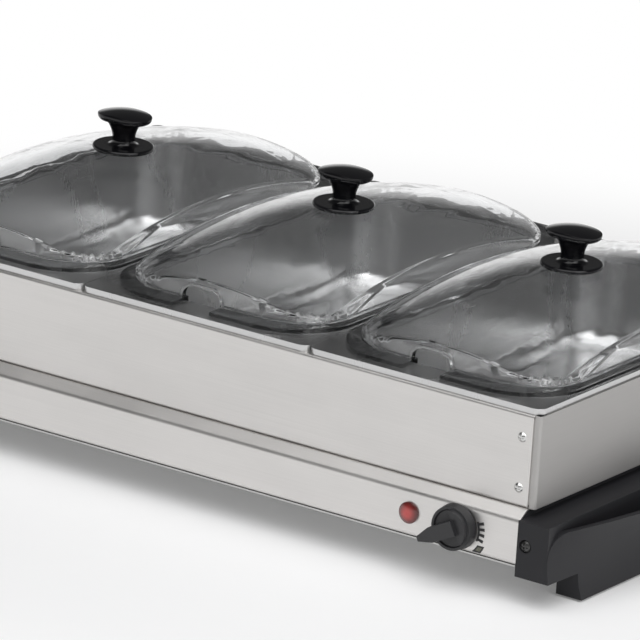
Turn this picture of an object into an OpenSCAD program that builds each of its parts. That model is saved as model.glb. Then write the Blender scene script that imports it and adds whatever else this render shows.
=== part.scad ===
// Electric buffet warmer: a heated base, a lift-off frame, three pans and three clear lids.
// X runs along the unit, Y to the back and Z up. The origin is on the table, under the unit's middle.

/* [Base] */
// Height of the base's lower edge above the table
base_lift = 24.5; // [21:0.5:30]
// Height of the upright base face
base_face = 30; // [28:0.5:40]
// Height that the sloped shoulder climbs above the face
shoulder_rise = 5.9; // [3:0.1:9]
// Depth of the sloped shoulder in front of the frame
shoulder_run = 8.7; // [5:0.1:14]
// Thickness of the base sheet
base_sheet = 1.2; // [0.8:0.1:1.6]
// Inner radius of the base's bends
base_bend = 3; // [1:0.5:4]
// Width of the turned-in lower flange
base_flange = 14; // [10:0.5:20]
// Thickness of the bottom plate
bottom_sheet = 1; // [0.8:0.1:1.5]
// Distance from the frame's end back to the end of the base sheet
base_setback = 4.7; // [2:0.1:9]

/* [End caps and handles] */
// Length of an end cap beyond the base sheet
cap_length = 22.7; // [18:0.1:30]
// Amount by which an end cap stands proud of the base face
cap_proud = 0.8; // [0.3:0.1:2]
// Wall of the moulded end cap
cap_wall = 2.5; // [2:0.1:4]
// Depth of an end cap below the base's lower edge
cap_drop = 6; // [3:0.5:8]
// Outward flare of the handle at its middle
handle_flare = 25; // [14:1:30]
// Distance of the handle's upper edge below the cap's top
handle_drop = 5; // [3:0.5:8]
// Thickness of the handle wing
handle_wall = 4; // [3:0.1:6]
// Radius of the handle's upper corners
handle_corner = 18; // [6:1:22]
// Width of the foot rail under an end cap
rail_width = 12; // [11:0.5:16]
// Outward splay of the foot rail at the table
rail_splay = 7; // [0:0.5:9]
// Distance from the cap's front to the foot rail
rail_setback = 33; // [15:1:45]
// Height of a rubber foot pad
pad_height = 1.5; // [1:0.5:4]
// Diameter of a rubber foot pad
pad_d = 11; // [9:0.5:12]
// Distance of the pads from the ends of the foot rail
pad_inset = 16; // [10:1:40]

/* [Frame] */
// Depth of the frame, front face to back face
frame_depth = 335; // [310:1:360]
// Height of the frame panels
frame_height = 60.6; // [45:0.1:80]
// Length of the frame beyond the outer pans' pitch
frame_margin = 1; // [0.5:0.1:4]
// Thickness of the frame sheet
frame_sheet = 1; // [0.8:0.1:1.4]
// Inner radius of the frame's bends
frame_bend = 1; // [0.5:0.1:2]
// Width of the turned-in flange along the frame's edges
frame_flange = 9; // [7:0.5:11]
// Strip of the end panel that shows beside the front sheet
corner_strip = 5; // [3:0.5:8]
// Width of the end panel's flange behind the front sheet
corner_flange = 20; // [17:0.5:30]
// Width of a divider bar between two pans
divider_width = 16; // [12:0.5:20]
// Height of a divider bar
divider_height = 14; // [8:0.5:20]
// Distance of the frame screws from the frame's end
frame_screw_inset = 12.5; // [10:0.5:16]
// Distance of the upper frame screws below the frame's top
frame_screw_drop = 15.5; // [10:0.5:20]
// Distance between the two frame screws of a corner
frame_screw_pitch = 33; // [20:1:40]

/* [Pans] */
// Distance between pan centres along the unit
pan_pitch = 176; // [165:1:190]
// Gap between the rims of two pans
pan_gap = 0.6; // [0.4:0.1:2]
// Distance of the rim behind the frame's upper bend
rim_inset = 0.2; // [0.1:0.1:2]
// Height of the turned-down rim
rim_height = 4; // [3:0.5:6]
// Corner radius of the rim
rim_corner = 6; // [3:0.5:12]
// Thickness of the pan sheet
pan_sheet = 0.9; // [0.7:0.1:1.2]
// Width of the flat rim along the bowl's long sides
rim_side = 11; // [9.5:0.5:14]
// Width of the flat rim at the bowl's front and back
rim_end = 22.1; // [18:0.1:28]
// Plan corner radius of the bowl's mouth
bowl_corner = 38; // [32:1:44]
// Gap between the bowl's floor and the warming plate
bowl_gap = 3; // [2:0.5:12]
// Slope of the bowl's walls in degrees
bowl_draft = 5; // [2:0.5:8]
// Outer radius between the bowl's wall and its floor
bowl_fillet = 14; // [8:1:18]

/* [Lids] */
// Thickness of the lid
lid_wall = 2.5; // [2:0.1:3]
// Distance of the dome outside the bowl's mouth
lid_cover = 2.8; // [2.6:0.1:4]
// Width of the lid's flange along the dome's long sides
lid_flange_side = 5.5; // [4:0.5:6.5]
// Width of the lid's flange at the dome's front and back
lid_flange_end = 12.5; // [8:0.5:15]
// Height of the crown above the pan's rim
lid_crown = 36.2; // [34:0.2:46]
// Fall of the crown from the middle to the long sides
crown_fall_side = 17; // [10:0.5:18]
// Fall of the crown from the middle to the front and back
crown_fall_end = 19.9; // [14:0.1:22]
// Slope of the dome's walls in degrees
lid_draft = 4; // [2:0.5:8]
// Clearance of the locating rib inside the bowl's mouth
lid_fit = 0.8; // [0.5:0.1:1.5]
// Depth of the locating rib
lid_rib = 2.5; // [1.5:0.1:4]
// Width of the spoon notch
notch_width = 29; // [20:1:40]
// Height of the spoon notch above the rim
notch_height = 11.5; // [8:0.5:14]
// Radius of the notch's upper corners
notch_corner = 6.5; // [3:0.5:8]
// Distance of the notch from the lid's middle
notch_shift = 7; // [0:1:20]
// Width of the raised lip around the notch
notch_lip = 2.4; // [1.5:0.1:4]
// Height of the raised lip around the notch
notch_lip_rise = 1.6; // [0.6:0.1:3]

/* [Lid knobs] */
// Diameter of the knob's base
knob_base_d = 41; // [34:0.5:48]
// Diameter of the knob's waist
knob_waist_d = 15; // [12:0.5:18]
// Length of the knob's oval head
knob_head_length = 38; // [32:0.5:46]
// Width of the knob's oval head
knob_head_width = 27; // [22:0.5:30]
// Thickness of the knob's head
knob_head = 7; // [6:0.5:9]
// Height of the whole knob
knob_height = 26; // [24:0.5:32]
// Height of the knob's waist above its seat
knob_waist_z = 6.5; // [5:0.5:8]
// Radius of the throat between the waist and the head
knob_throat = 20; // [17:1:30]
// Diameter of the knob's screw
knob_screw_d = 3.5; // [3:0.5:5]

/* [Controls] */
// Distance of the thermostat from the end of the base sheet
control_inset = 45.2; // [36:0.1:60]
// Distance between the thermostat and the pilot lens
pilot_spacing = 35.8; // [34:0.1:60]
// Height of the controls above the base's lower edge
control_rise = 15.7; // [14:0.1:20]
// Diameter of the thermostat knob
control_d = 30; // [28:0.5:32]
// Distance that the thermostat knob stands out from the base face
control_reach = 13; // [12:0.5:20]
// Length of the knob's pointer from its axis
pointer_length = 25; // [18:0.5:28]
// Width of the knob's grip bar
grip_width = 10; // [7:0.5:12]
// Angle of the pointer at rest, counted from +X towards +Z
pointer_angle = 207; // [180:1:240]
// Diameter of the thermostat shaft
shaft_d = 6; // [5:0.5:7]
// Diameter of the pilot lens
pilot_d = 14; // [12:0.5:16]

/* [Heater and wiring] */
// Diameter of the sheathed heating element
element_d = 6.6; // [5:0.1:8]
// Distance between the element's runs
element_pitch = 44; // [36:1:48]
// Number of the element's runs
element_runs = 6; // [4:2:6]
// Depth of the heat shield below the warming plate
shield_drop = 18; // [15:0.5:20]
// Diameter of an insulated lead
lead_d = 2.6; // [2:0.1:3.5]
// Bore of the cord gland
gland_bore = 7.4; // [6:0.1:9]
// Distance that the cord gland stands out from the back
gland_reach = 13; // [12:0.5:24]

/* [Hidden] */
$fn = 64;
// Clearance between pieces that lie beside each other
gap = 0.3;
// Running clearance of the thermostat shaft, on the radius
shaft_gap = 0.05;
// Overshoot of a cut past the face that it opens
over = 1;
// Facets of a sheet bend
bend_steps = 8;

// Heights
shoulder_z = base_lift + base_face;
deck_z = shoulder_z + shoulder_rise;
frame_top = deck_z + frame_height;
rim_top = frame_top + rim_height;
crown_z = rim_top + lid_crown;
control_z = base_lift + control_rise;
cap_top = shoulder_z + cap_proud;
cap_low = base_lift - cap_drop;
handle_top = cap_top - handle_drop;

// Plan sizes, as half lengths
frame_x = 1.5 * pan_pitch + frame_margin;
frame_y = frame_depth / 2;
base_x = frame_x - base_setback;
base_y = frame_y + shoulder_run;
cap_x = base_x + cap_length;
cap_y = base_y + cap_proud;
sheet_x = frame_x - corner_strip;
rim_x = (pan_pitch - pan_gap) / 2;
rim_y = frame_y - frame_sheet - frame_bend - rim_inset;
mouth_x = rim_x - rim_side;
mouth_y = rim_y - rim_end;
control_x = base_x - control_inset;
pilot_x = control_x - pilot_spacing;

// Crown radii of the lid, through its middle and its edges
dome_x = mouth_x + lid_cover;
dome_y = mouth_y + lid_cover;
crown_r_side = (pow(dome_x, 2) + pow(crown_fall_side, 2)) / (2 * crown_fall_side);
crown_r_end = (pow(dome_y, 2) + pow(crown_fall_end, 2)) / (2 * crown_fall_end);

// Plane geometry of folded sheet

// Direction from a to b
function toward(a, b) = (b - a) / norm(b - a);

// Direction turned a quarter turn to the left
function left_of(v) = [-v[1], v[0]];

// Arc of radius r in the corner b of the path a, b, c
function bend(a, b, c, r) =
    let (u = toward(b, a), v = toward(b, c), half = acos(u * v) / 2)
    let (centre = b + (u + v) / norm(u + v) * r / sin(half), start = b + u * r / tan(half) - centre)
    let (first = atan2(start[1], start[0]), sweep = (180 - 2 * half) * sign(cross(v, u)))
    [for (k = [0 : bend_steps])
        let (angle = first + sweep * k / bend_steps)
        centre + r * [cos(angle), sin(angle)]];

// Path with its corners bent, by one radius to the left and another to the right
function folded(path, r_left, r_right) =
    [for (i = [0 : len(path) - 1])
        each (i == 0 || i == len(path) - 1) ? [path[i]]
            : bend(path[i - 1], path[i], path[i + 1],
                cross(path[i] - path[i - 1], path[i + 1] - path[i]) > 0 ? r_left : r_right)];

// Path moved to its left by t
function beside(path, t) =
    let (last = len(path) - 1)
    [for (i = [0 : last])
        let (before = left_of(toward(path[max(i - 1, 0)], path[max(i, 1)])))
        let (after = left_of(toward(path[min(i, last - 1)], path[min(i + 1, last)])))
        path[i] + t * (before + after) / (1 + before * after)];

function reversed(list) = [for (i = [len(list) - 1 : -1 : 0]) list[i]];

// Section of a folded sheet: the path is one face, and the metal lies to its left
module sheet(path, t, r) {
    polygon(concat(folded(path, r + t, r), reversed(folded(beside(path, t), r, r + t))));
}

// Extrusions along each axis of a section drawn in the plane across it
module along_x(x0, x1) {
    translate([x0, 0, 0]) rotate([90, 0, 90]) linear_extrude(x1 - x0) children();
}

module along_y(y0, y1) {
    translate([0, y1, 0]) rotate([90, 0, 0]) linear_extrude(y1 - y0) children();
}

module along_z(z0, z1) {
    translate([0, 0, z0]) linear_extrude(z1 - z0) children();
}

// Block between two corners
module block(low, high) {
    translate(low) cube(high - low);
}

// Plan outline of a rounded rectangle
module rounded_plan(x, y, r) {
    square([2 * (x - r), 2 * y], center = true);
    square([2 * x, 2 * (y - r)], center = true);
    for (sx = [-1, 1], sy = [-1, 1]) translate([sx * (x - r), sy * (y - r)]) circle(r);
}

// Carries a section round a rounded rectangle whose corner centres lie at x and y
module sweep_plan(x, y) {
    for (quarter = [0 : 3]) {
        sx = quarter == 0 || quarter == 3 ? 1 : -1;
        sy = quarter < 2 ? 1 : -1;
        translate([sx * x, sy * y, 0]) rotate(90 * quarter) rotate_extrude(angle = 90) children();
    }
    for (turn = [0, 180]) rotate(turn) translate([x, 0, 0]) along_y(-y, y) children();
    for (turn = [90, 270]) rotate(turn) translate([y, 0, 0]) along_y(-x, x) children();
}

// Turns a piece drawn upright so that it points to the front or to the back
module facing_front() { rotate([90, 0, 0]) children(); }
module facing_back() { rotate([-90, 0, 0]) children(); }

// Pan-head screw with a cross recess, its seat at z 0 and its shank downward
module screw(head_d, head_h, shank_d, length) {
    slot = head_d / 6;
    dome_r = (pow(head_d / 2, 2) + pow(head_h, 2)) / (2 * head_h);
    difference() {
        intersection() {
            cylinder(d = head_d, h = head_h);
            translate([0, 0, head_h - dome_r]) sphere(dome_r);
        }
        for (turn = [0, 90]) rotate(turn)
            block([-head_d * 0.3, -slot / 2, head_h / 2], [head_d * 0.3, slot / 2, head_h + over]);
    }
    translate([0, 0, -length]) cylinder(d = shank_d, h = length);
}

// Rings of an even number of points joined into a closed skin, with flat ends
module skin(rings) {
    n = len(rings[0]);
    last = len(rings) - 1;
    sides = [for (i = [0 : last - 1], k = [0 : n - 1])
        let (a = i * n + k, b = i * n + (k + 1) % n)
        each [[a, b + n, b], [a, a + n, b + n]]];
    start = [for (k = [0 : n / 2 - 2]) each [[k, k + 1, n - 2 - k], [k, n - 2 - k, n - 1 - k]]];
    finish = [for (face = start) [for (corner = reversed(face)) last * n + corner]];
    polyhedron([for (ring = rings) each ring], concat(sides, start, finish));
}

// Insulated lead along a route
lead_sides = 8;
lead_upright = [0.31, 0.17, 1];
function lead_ring(p, along) =
    let (across = cross(along, lead_upright) / norm(cross(along, lead_upright)), up = cross(across, along))
    [for (k = [0 : lead_sides - 1])
        let (angle = -360 * k / lead_sides)
        p + lead_d / 2 * (across * cos(angle) + up * sin(angle))];

module lead(route) {
    last = len(route) - 1;
    skin([for (i = [0 : last]) lead_ring(route[i], toward(route[max(i - 1, 0)], route[min(i + 1, last)]))]);
}

// Base

base_face_path = [
    [base_y, base_lift], [base_y, shoulder_z], [base_y - shoulder_run, deck_z],
    [-base_y + shoulder_run, deck_z], [-base_y, shoulder_z], [-base_y, base_lift]
];
ear_length = 12;
ear_height = 16;
ear_weld = 14;
ear_z = base_lift + base_face / 2;
cap_screw_x = base_x + ear_length / 2;
cap_screw_d = 4;
bottom_screw_d = 3.5;
bottom_screw_end = 20;
bottom_screw_edge = 9;
bottom_screw_head_d = 7;
bottom_screw_head = 2.2;
bottom_screw_length = 8;
bottom_screw_x = [-base_x + bottom_screw_end, -base_x / 3, base_x / 3, base_x - bottom_screw_end];
bottom_screw_y = base_y - bottom_screw_edge;
bottom_inset = 2;
thermostat_screw_pitch = 18;
thermostat_screw_d = 3;
bushing_d = 9;
gland_x = control_x;
gland_d = 14;

// Tongue at each corner of the base sheet that carries the end cap's screw
module ears(grow) {
    for (sx = [0, 1], sy = [0, 1]) mirror([sx, 0, 0]) mirror([0, sy, 0])
        block([base_x - ear_weld - grow, base_y - 2 * base_sheet - grow, ear_z - ear_height / 2 - grow],
            [base_x + ear_length + grow, base_y - base_sheet, ear_z + ear_height / 2 + grow]);
}

module base_shell() color("silver") difference() {
    union() {
        along_x(-base_x, base_x) sheet(
            concat([[base_y - base_flange, base_lift]], base_face_path,
                [[-base_y + base_flange, base_lift]]),
            base_sheet, base_bend);
        ears(0);
    }
    for (sx = [-1, 1]) translate([sx * cap_screw_x, 0, ear_z]) facing_front()
        cylinder(d = cap_screw_d + gap, h = 2 * base_y + 2 * over, center = true);
    for (x = bottom_screw_x, sy = [-1, 1]) translate([x, sy * bottom_screw_y, base_lift - over])
        cylinder(d = bottom_screw_d + gap, h = base_sheet + 2 * over);
    translate([control_x, -base_y, control_z]) facing_front() {
        cylinder(d = bushing_d + gap, h = 4 * base_sheet, center = true);
        for (sx = [-1, 1]) translate([sx * thermostat_screw_pitch / 2, 0, 0])
            cylinder(d = thermostat_screw_d + gap, h = 4 * base_sheet, center = true);
    }
    translate([pilot_x, -base_y, control_z]) facing_front()
        cylinder(d = pilot_d - 2 * pilot_lip + gap, h = 4 * base_sheet, center = true);
    translate([gland_x, base_y, control_z]) facing_back()
        cylinder(d = gland_d + gap, h = 4 * base_sheet, center = true);
}

vent_rows = 4;
vent_columns = 9;
vent_length = 22;
vent_width = 4;
vent_pitch = [40, 24];

module vent_slot() {
    square([vent_length - vent_width, vent_width], center = true);
    for (sx = [-1, 1]) translate([sx * (vent_length - vent_width) / 2, 0]) circle(d = vent_width);
}

module bottom_plate() color("darkgray") along_z(base_lift - bottom_sheet, base_lift) difference() {
    square(2 * [base_x - bottom_inset, base_y - bottom_inset], center = true);
    for (i = [1 : vent_columns], k = [1 : vent_rows])
        translate([vent_pitch[0] * (i - (vent_columns + 1) / 2), vent_pitch[1] * (k - (vent_rows + 1) / 2)])
            vent_slot();
    for (x = bottom_screw_x, sy = [-1, 1]) translate([x, sy * bottom_screw_y])
        circle(d = bottom_screw_d + gap);
}

module bottom_screws() color("dimgray")
    for (x = bottom_screw_x, sy = [-1, 1]) translate([x, sy * bottom_screw_y, base_lift - bottom_sheet])
        rotate([180, 0, 0])
            screw(bottom_screw_head_d, bottom_screw_head, bottom_screw_d, bottom_screw_length);

// End caps

wing_steps = 28;
wing_rise_steps = 6;
cap_plug = 6;
cap_screw_head_d = 8;
cap_screw_head = 2;
cap_screw_length = 8;
cap_screw_recess = 1;
rail_y = cap_y - rail_setback;
rail_x = cap_x - rail_width;
pad_x = cap_x + (rail_splay - rail_width) / 2;
pad_y = rail_y - pad_inset;
pad_taper = 1;
pad_stem_d = 6;
pad_stem = 7;

// Outward reach of the handle wing at the depth y and the share t of its height: hollow from its splayed
// foot to its bowed upper edge
function wing_x(y, t) =
    cap_x + rail_splay * pow(1 - t, 3) + handle_flare * (1 - pow(y / cap_y, 2)) * pow(t, 2);

// Edge of the wing's section at the depth y, moved in by inset
function wing_edge(y, inset) = [for (k = [0 : wing_rise_steps])
    let (t = k / wing_rise_steps)
    [wing_x(y, t) - inset, y, pad_height + t * (handle_top - pad_height)]];

// Side view of the wing: rounded upper corners, and a foot that stands back from the cap's ends
module wing_outline() {
    height = handle_top - cap_low;
    translate([0, cap_low]) intersection() {
        rounded_plan(cap_y, height, handle_corner);
        translate([-cap_y, 0]) square([2 * cap_y, height]);
    }
    translate([-rail_y, pad_height]) square([2 * rail_y, base_lift]);
}

module handle_wing() {
    intersection() {
        skin([for (i = [0 : wing_steps])
            let (y = cap_y * (2 * i / wing_steps - 1))
            concat(wing_edge(y, handle_wall), reversed(wing_edge(y, 0)))]);
        along_x(base_x, cap_x + handle_flare + over) wing_outline();
    }
}

// Foot rail's section, moved in by t and lengthened downward by below
module rail_section(t, below) {
    foot = pad_height - below;
    top = cap_low + 2 * cap_wall - t;
    heel_x = wing_x(cap_y, (cap_low - pad_height) / (handle_top - pad_height));
    polygon([
        [rail_x + t, foot], [cap_x + rail_splay - handle_wall / 2 - t, foot],
        [heel_x - t, cap_low], [cap_x - t, top], [rail_x + t, top]]);
}

module end_cap_body() difference() {
    union() {
        // End box, open below and towards the base
        difference() {
            block([base_x, -cap_y, cap_low], [cap_x, cap_y, cap_top]);
            block([base_x - over, -base_y + base_sheet, cap_low - over],
                [cap_x - cap_wall, base_y - base_sheet, cap_top - cap_wall]);
        }
        // Bulkhead that plugs the end of the base sheet
        difference() {
            along_x(base_x - cap_plug, base_x) intersection() {
                polygon(folded(beside(base_face_path, base_sheet + gap), base_bend, base_bend));
                translate([-base_y, base_lift + base_sheet + base_bend]) square([2 * base_y, deck_z]);
            }
            ears(gap);
        }
        handle_wing();
        // Foot rail, hollow from below, with a boss over each pad
        difference() {
            along_y(-rail_y, rail_y) rail_section(0, 0);
            difference() {
                along_y(-rail_y + cap_wall, rail_y - cap_wall) rail_section(cap_wall, over);
                for (sy = [-1, 1]) translate([pad_x, sy * pad_y, 0]) cylinder(d = pad_d, h = base_lift);
            }
        }
    }
    for (sy = [-1, 1]) {
        translate([pad_x, sy * pad_y, pad_height - over])
            cylinder(d = pad_stem_d + gap, h = pad_stem + gap + over);
        translate([cap_screw_x, sy * cap_y, ear_z]) facing_front() {
            cylinder(d = cap_screw_d + gap, h = 6 * cap_wall, center = true);
            cylinder(d = cap_screw_head_d + 2 * gap, h = 2 * cap_screw_recess, center = true);
        }
    }
}

module end_cap_right() color([0.13, 0.13, 0.14]) end_cap_body();
module end_cap_left() color([0.13, 0.13, 0.14]) mirror([1, 0, 0]) end_cap_body();

module end_cap_screws() color("dimgray") for (sx = [-1, 1]) {
    translate([sx * cap_screw_x, -cap_y + cap_screw_recess, ear_z]) facing_front()
        screw(cap_screw_head_d, cap_screw_head, cap_screw_d, cap_screw_length);
    translate([sx * cap_screw_x, cap_y - cap_screw_recess, ear_z]) facing_back()
        screw(cap_screw_head_d, cap_screw_head, cap_screw_d, cap_screw_length);
}

module foot_pad() {
    cylinder(d1 = pad_d - 2 * pad_taper, d2 = pad_d, h = pad_height);
    cylinder(d = pad_stem_d, h = pad_height + pad_stem);
}

module foot_pads() color([0.08, 0.08, 0.08])
    for (sx = [-1, 1], sy = [-1, 1]) translate([sx * pad_x, sy * pad_y, 0]) foot_pad();

// Heater

element_z = deck_z - base_sheet - element_d / 2 - gap / 2;
element_margin = 60;
element_clear = 70;
element_tail = 42;
element_left = -base_x + element_margin;
element_right = control_x - element_clear;
element_end = element_right + element_tail;
element_first = -element_pitch * (element_runs - 1) / 2;
clip_sheet = 1;
clamp = 0.1;
clip_width = 12;
clip_bend = 0.6;
clip_overhang = 14;
clip_slope = 3;
clip_foot = 12;
clip_inset = 40;
clip_edge = -element_first + clip_overhang;
clip_x = [element_left + clip_inset, (element_left + element_right) / 2, element_right - clip_inset];
shield_gap = 4;
shield_sheet = 0.8;
shield_foot = 8;
shield_margin = 10;
shield_edge = clip_edge + clip_foot + shield_gap;

module heating_element() color("dimgray") {
    for (i = [0 : element_runs - 1]) {
        outer = i == 0 || i == element_runs - 1;
        translate([element_left, element_first + i * element_pitch, element_z]) rotate([0, 90, 0])
            cylinder(d = element_d, h = (outer ? element_end : element_right) - element_left);
    }
    for (i = [0 : element_runs - 2]) {
        at_left = i % 2 == 0;
        x = at_left ? element_left : element_right;
        translate([x, element_first + (i + 0.5) * element_pitch, element_z]) rotate(at_left ? 90 : -90)
            rotate_extrude(angle = 180) translate([element_pitch / 2, 0]) circle(d = element_d);
    }
}

// Hold-down straps under the element's runs
module element_clips() color("lightgray") {
    seat = deck_z - base_sheet;
    low = element_z - element_d / 2 + clamp;
    for (x = clip_x) along_x(x - clip_width / 2, x + clip_width / 2) sheet([
        [clip_edge + clip_foot, seat], [clip_edge, seat], [clip_edge - clip_slope, low],
        [-clip_edge + clip_slope, low], [-clip_edge, seat], [-clip_edge - clip_foot, seat]],
        clip_sheet, clip_bend);
}

module heat_shield() color("lightgray")
along_x(element_left - 2 * shield_margin - element_pitch / 2, element_right + shield_margin) {
    seat = deck_z - base_sheet;
    sheet([[shield_edge + shield_foot, seat], [shield_edge, seat], [shield_edge, seat - shield_drop],
        [-shield_edge, seat - shield_drop], [-shield_edge, seat], [-shield_edge - shield_foot, seat]],
        shield_sheet, clip_bend);
}

fuse_length = 22;
fuse_step = 1;
fuse_end = 3;

module thermal_fuse() color("tan") translate([element_end, element_first, element_z]) rotate([0, 90, 0]) {
    cylinder(d = element_d - 2 * fuse_step, h = fuse_length);
    translate([0, 0, fuse_end]) cylinder(d = element_d, h = fuse_length - 2 * fuse_end);
}

// Controls

thermostat_size = [34, 26, 22];
thermostat_screw_head_d = 5;
thermostat_screw_head = 1.5;
thermostat_screw_length = 7;
bushing_reach = 3;
shaft_in = 14;
control_gap = 0.8;
control_hollow = 4;
control_rim = 2;
control_taper = 0.8;
control_face = control_reach * 0.58;
control_step = control_reach * 0.78;
control_dish = 1.2;
control_cover = 3;
grip_tail = 5.5;
grip_slope = 2;
pilot_lip = 1.4;
pilot_flange = 1.2;
pilot_depth = 16;
pilot_dome = 2;
lamp_d = 8;
lamp_length = 20;
ring_height = 3;
ring_wall = 1.5;

module thermostat_body() color("ivory")
translate([control_x, -base_y + base_sheet, control_z]) difference() {
    union() {
        block([-thermostat_size[0] / 2, 0, -thermostat_size[2] / 2],
            [thermostat_size[0] / 2, thermostat_size[1], thermostat_size[2] / 2]);
        facing_front() cylinder(d = bushing_d, h = base_sheet + bushing_reach);
    }
    translate([0, shaft_in, 0]) facing_front()
        cylinder(d = shaft_d + 2 * shaft_gap, h = shaft_in + base_sheet + bushing_reach + over);
    for (sx = [-1, 1]) translate([sx * thermostat_screw_pitch / 2, -over, 0]) facing_back()
        cylinder(d = thermostat_screw_d + gap, h = thermostat_screw_length + over);
}

module thermostat_screws() color("dimgray") for (sx = [-1, 1])
    translate([control_x + sx * thermostat_screw_pitch / 2, -base_y, control_z]) facing_front()
        screw(thermostat_screw_head_d, thermostat_screw_head, thermostat_screw_d, thermostat_screw_length);

module thermostat_shaft() color("gray")
    translate([control_x, -base_y + base_sheet + shaft_in - gap, control_z]) facing_front()
        cylinder(d = shaft_d, h = shaft_in - gap + base_sheet + control_reach - control_cover);

// Outline of the grip bar, which runs from behind the axis out into a pointer
module grip_outline() {
    half = grip_width / 2;
    polygon([[pointer_length, -grip_slope / 2], [pointer_length, grip_slope / 2], [control_d * 0.42, half],
        [-grip_tail, half], [-grip_tail, -half], [control_d * 0.42, -half]]);
}

// Skirted knob, dished on both sides of its grip bar and stepped up behind it
module control_knob() color([0.16, 0.16, 0.18])
translate([control_x, -base_y, control_z]) facing_front() rotate(pointer_angle) difference() {
    skirt_r = control_d / 2;
    crown_r = skirt_r - control_rim;
    union() {
        translate([0, 0, control_gap])
            cylinder(r1 = skirt_r, r2 = skirt_r - control_taper, h = control_face - control_gap);
        intersection() {
            translate([0, 0, control_face - control_dish])
                cylinder(r1 = crown_r, r2 = crown_r - control_taper,
                    h = control_step - control_face + control_dish);
            block([-control_d, -control_d, 0], [-grip_tail + over, control_d, control_reach]);
        }
        intersection() {
            along_z(control_face / 2, control_reach) grip_outline();
            cylinder(r1 = pointer_length + grip_slope, r2 = pointer_length - grip_slope, h = control_reach);
        }
    }
    difference() {
        translate([0, 0, control_face - control_dish])
            cylinder(r1 = crown_r - control_dish, r2 = crown_r, h = control_dish + over);
        along_z(0, control_reach) grip_outline();
        block([-control_d, -control_d, 0], [-grip_tail + over, control_d, control_reach]);
    }
    translate([0, 0, -over]) cylinder(r = skirt_r - control_rim, h = control_hollow + over);
    translate([0, 0, -over]) cylinder(d = shaft_d + gap, h = control_reach - control_cover + over);
}

module pilot_lens() color([0.75, 0.12, 0.1])
translate([pilot_x, -base_y, control_z]) facing_front() difference() {
    dome_r = (pow(pilot_d / 2, 2) + pow(pilot_dome, 2)) / (2 * pilot_dome);
    union() {
        intersection() {
            cylinder(d = pilot_d, h = pilot_flange + pilot_dome);
            translate([0, 0, pilot_flange + pilot_dome - dome_r]) sphere(dome_r);
        }
        translate([0, 0, -pilot_depth]) cylinder(d = pilot_d - 2 * pilot_lip, h = pilot_depth);
    }
    translate([0, 0, -pilot_depth - over]) cylinder(d = lamp_d + gap, h = pilot_depth + over);
}

module pilot_clip() color("lightgray")
translate([pilot_x, -base_y + base_sheet, control_z]) facing_back() difference() {
    cylinder(d = pilot_d + 2 * ring_wall, h = ring_height);
    translate([0, 0, -over]) cylinder(d = pilot_d - 2 * pilot_lip, h = ring_height + 2 * over);
}

module pilot_lamp() color("orange") translate([pilot_x, -base_y, control_z]) facing_back()
    cylinder(d = lamp_d, h = lamp_length);

// Wiring

terminal_size = [36, 18, 16];
terminal_setback = 58;
terminal_x = gland_x;
terminal_y = base_y - terminal_setback;
terminal_z = base_lift + terminal_size[2] / 2;
terminal_face = terminal_y - terminal_size[1] / 2;
terminal_pitch = 10;
terminal_well = 4;
terminal_well_d = 5;
thermostat_back = -base_y + base_sheet + thermostat_size[1];
lead_floor = base_lift + lead_d;
earth_x = terminal_x + terminal_size[0] / 2;
lamp_back = -base_y + lamp_length;
lamp_pin = 2;
lamp_tap = -base_y + base_sheet + thermostat_size[1] / 2;
thermostat_left = control_x - thermostat_size[0] / 2;
neutral_tap = [terminal_x + terminal_pitch, terminal_y - terminal_size[1] / 3, base_lift + terminal_size[2]];

module terminal_block() color("whitesmoke") translate([terminal_x, terminal_y, base_lift]) difference() {
    translate([0, 0, terminal_size[2] / 2]) cube(terminal_size, center = true);
    for (i = [-1 : 1]) translate([i * terminal_pitch, 0, terminal_size[2] - terminal_well])
        cylinder(d = terminal_well_d, h = terminal_well + over);
}

// Leads: each route starts and ends on a terminal, and its bends are counted in lead diameters
module live_lead() color("brown") lead([
    [terminal_x, terminal_face, terminal_z],
    [terminal_x, terminal_face - 8 * lead_d, terminal_z],
    [terminal_x, terminal_face - 20 * lead_d, lead_floor],
    [terminal_x, thermostat_back + 20 * lead_d, lead_floor],
    [terminal_x, thermostat_back + 8 * lead_d, control_z],
    [terminal_x, thermostat_back, control_z]]);

module heater_lead() color("darkred") lead([
    [element_end + fuse_length, element_first, element_z],
    [element_end + fuse_length + 2 * lead_d, element_first, element_z],
    [control_x + terminal_pitch, element_first - 3 * lead_d, element_z - lead_d],
    [control_x + terminal_pitch, thermostat_back + 5 * lead_d, control_z],
    [control_x + terminal_pitch, thermostat_back, control_z]]);

module neutral_lead() color("steelblue") lead([
    [element_end, -element_first, element_z],
    [element_end + 3.5 * lead_d, -element_first, element_z],
    neutral_tap + lead_d * [-3.5, 0, 5],
    neutral_tap + lead_d * [-0.8, 0, 3.5],
    neutral_tap + lead_d * [0, 0, 1.5],
    neutral_tap]);

module lamp_leads() color("gray") {
    low = control_z - 2 * lead_d;
    lead([
        [pilot_x + lamp_pin, lamp_back, control_z],
        [pilot_x + lamp_pin, lamp_back + 2 * lead_d, control_z],
        [pilot_x + 3 * lead_d, lamp_back + 4 * lead_d, low],
        [thermostat_left - 3 * lead_d, lamp_tap + 1.5 * lead_d, low],
        [thermostat_left - 1.5 * lead_d, lamp_tap, low],
        [thermostat_left, lamp_tap, low]]);
    lead([
        [pilot_x - lamp_pin, lamp_back, control_z],
        [pilot_x - lamp_pin, lamp_back + 3 * lead_d, control_z],
        [pilot_x, lamp_back + 12 * lead_d, lead_floor],
        [element_end, terminal_face - 27 * lead_d, lead_floor],
        [terminal_x - terminal_pitch, terminal_face - 8 * lead_d, terminal_z],
        [terminal_x - terminal_pitch, terminal_face, terminal_z]]);
}

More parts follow.
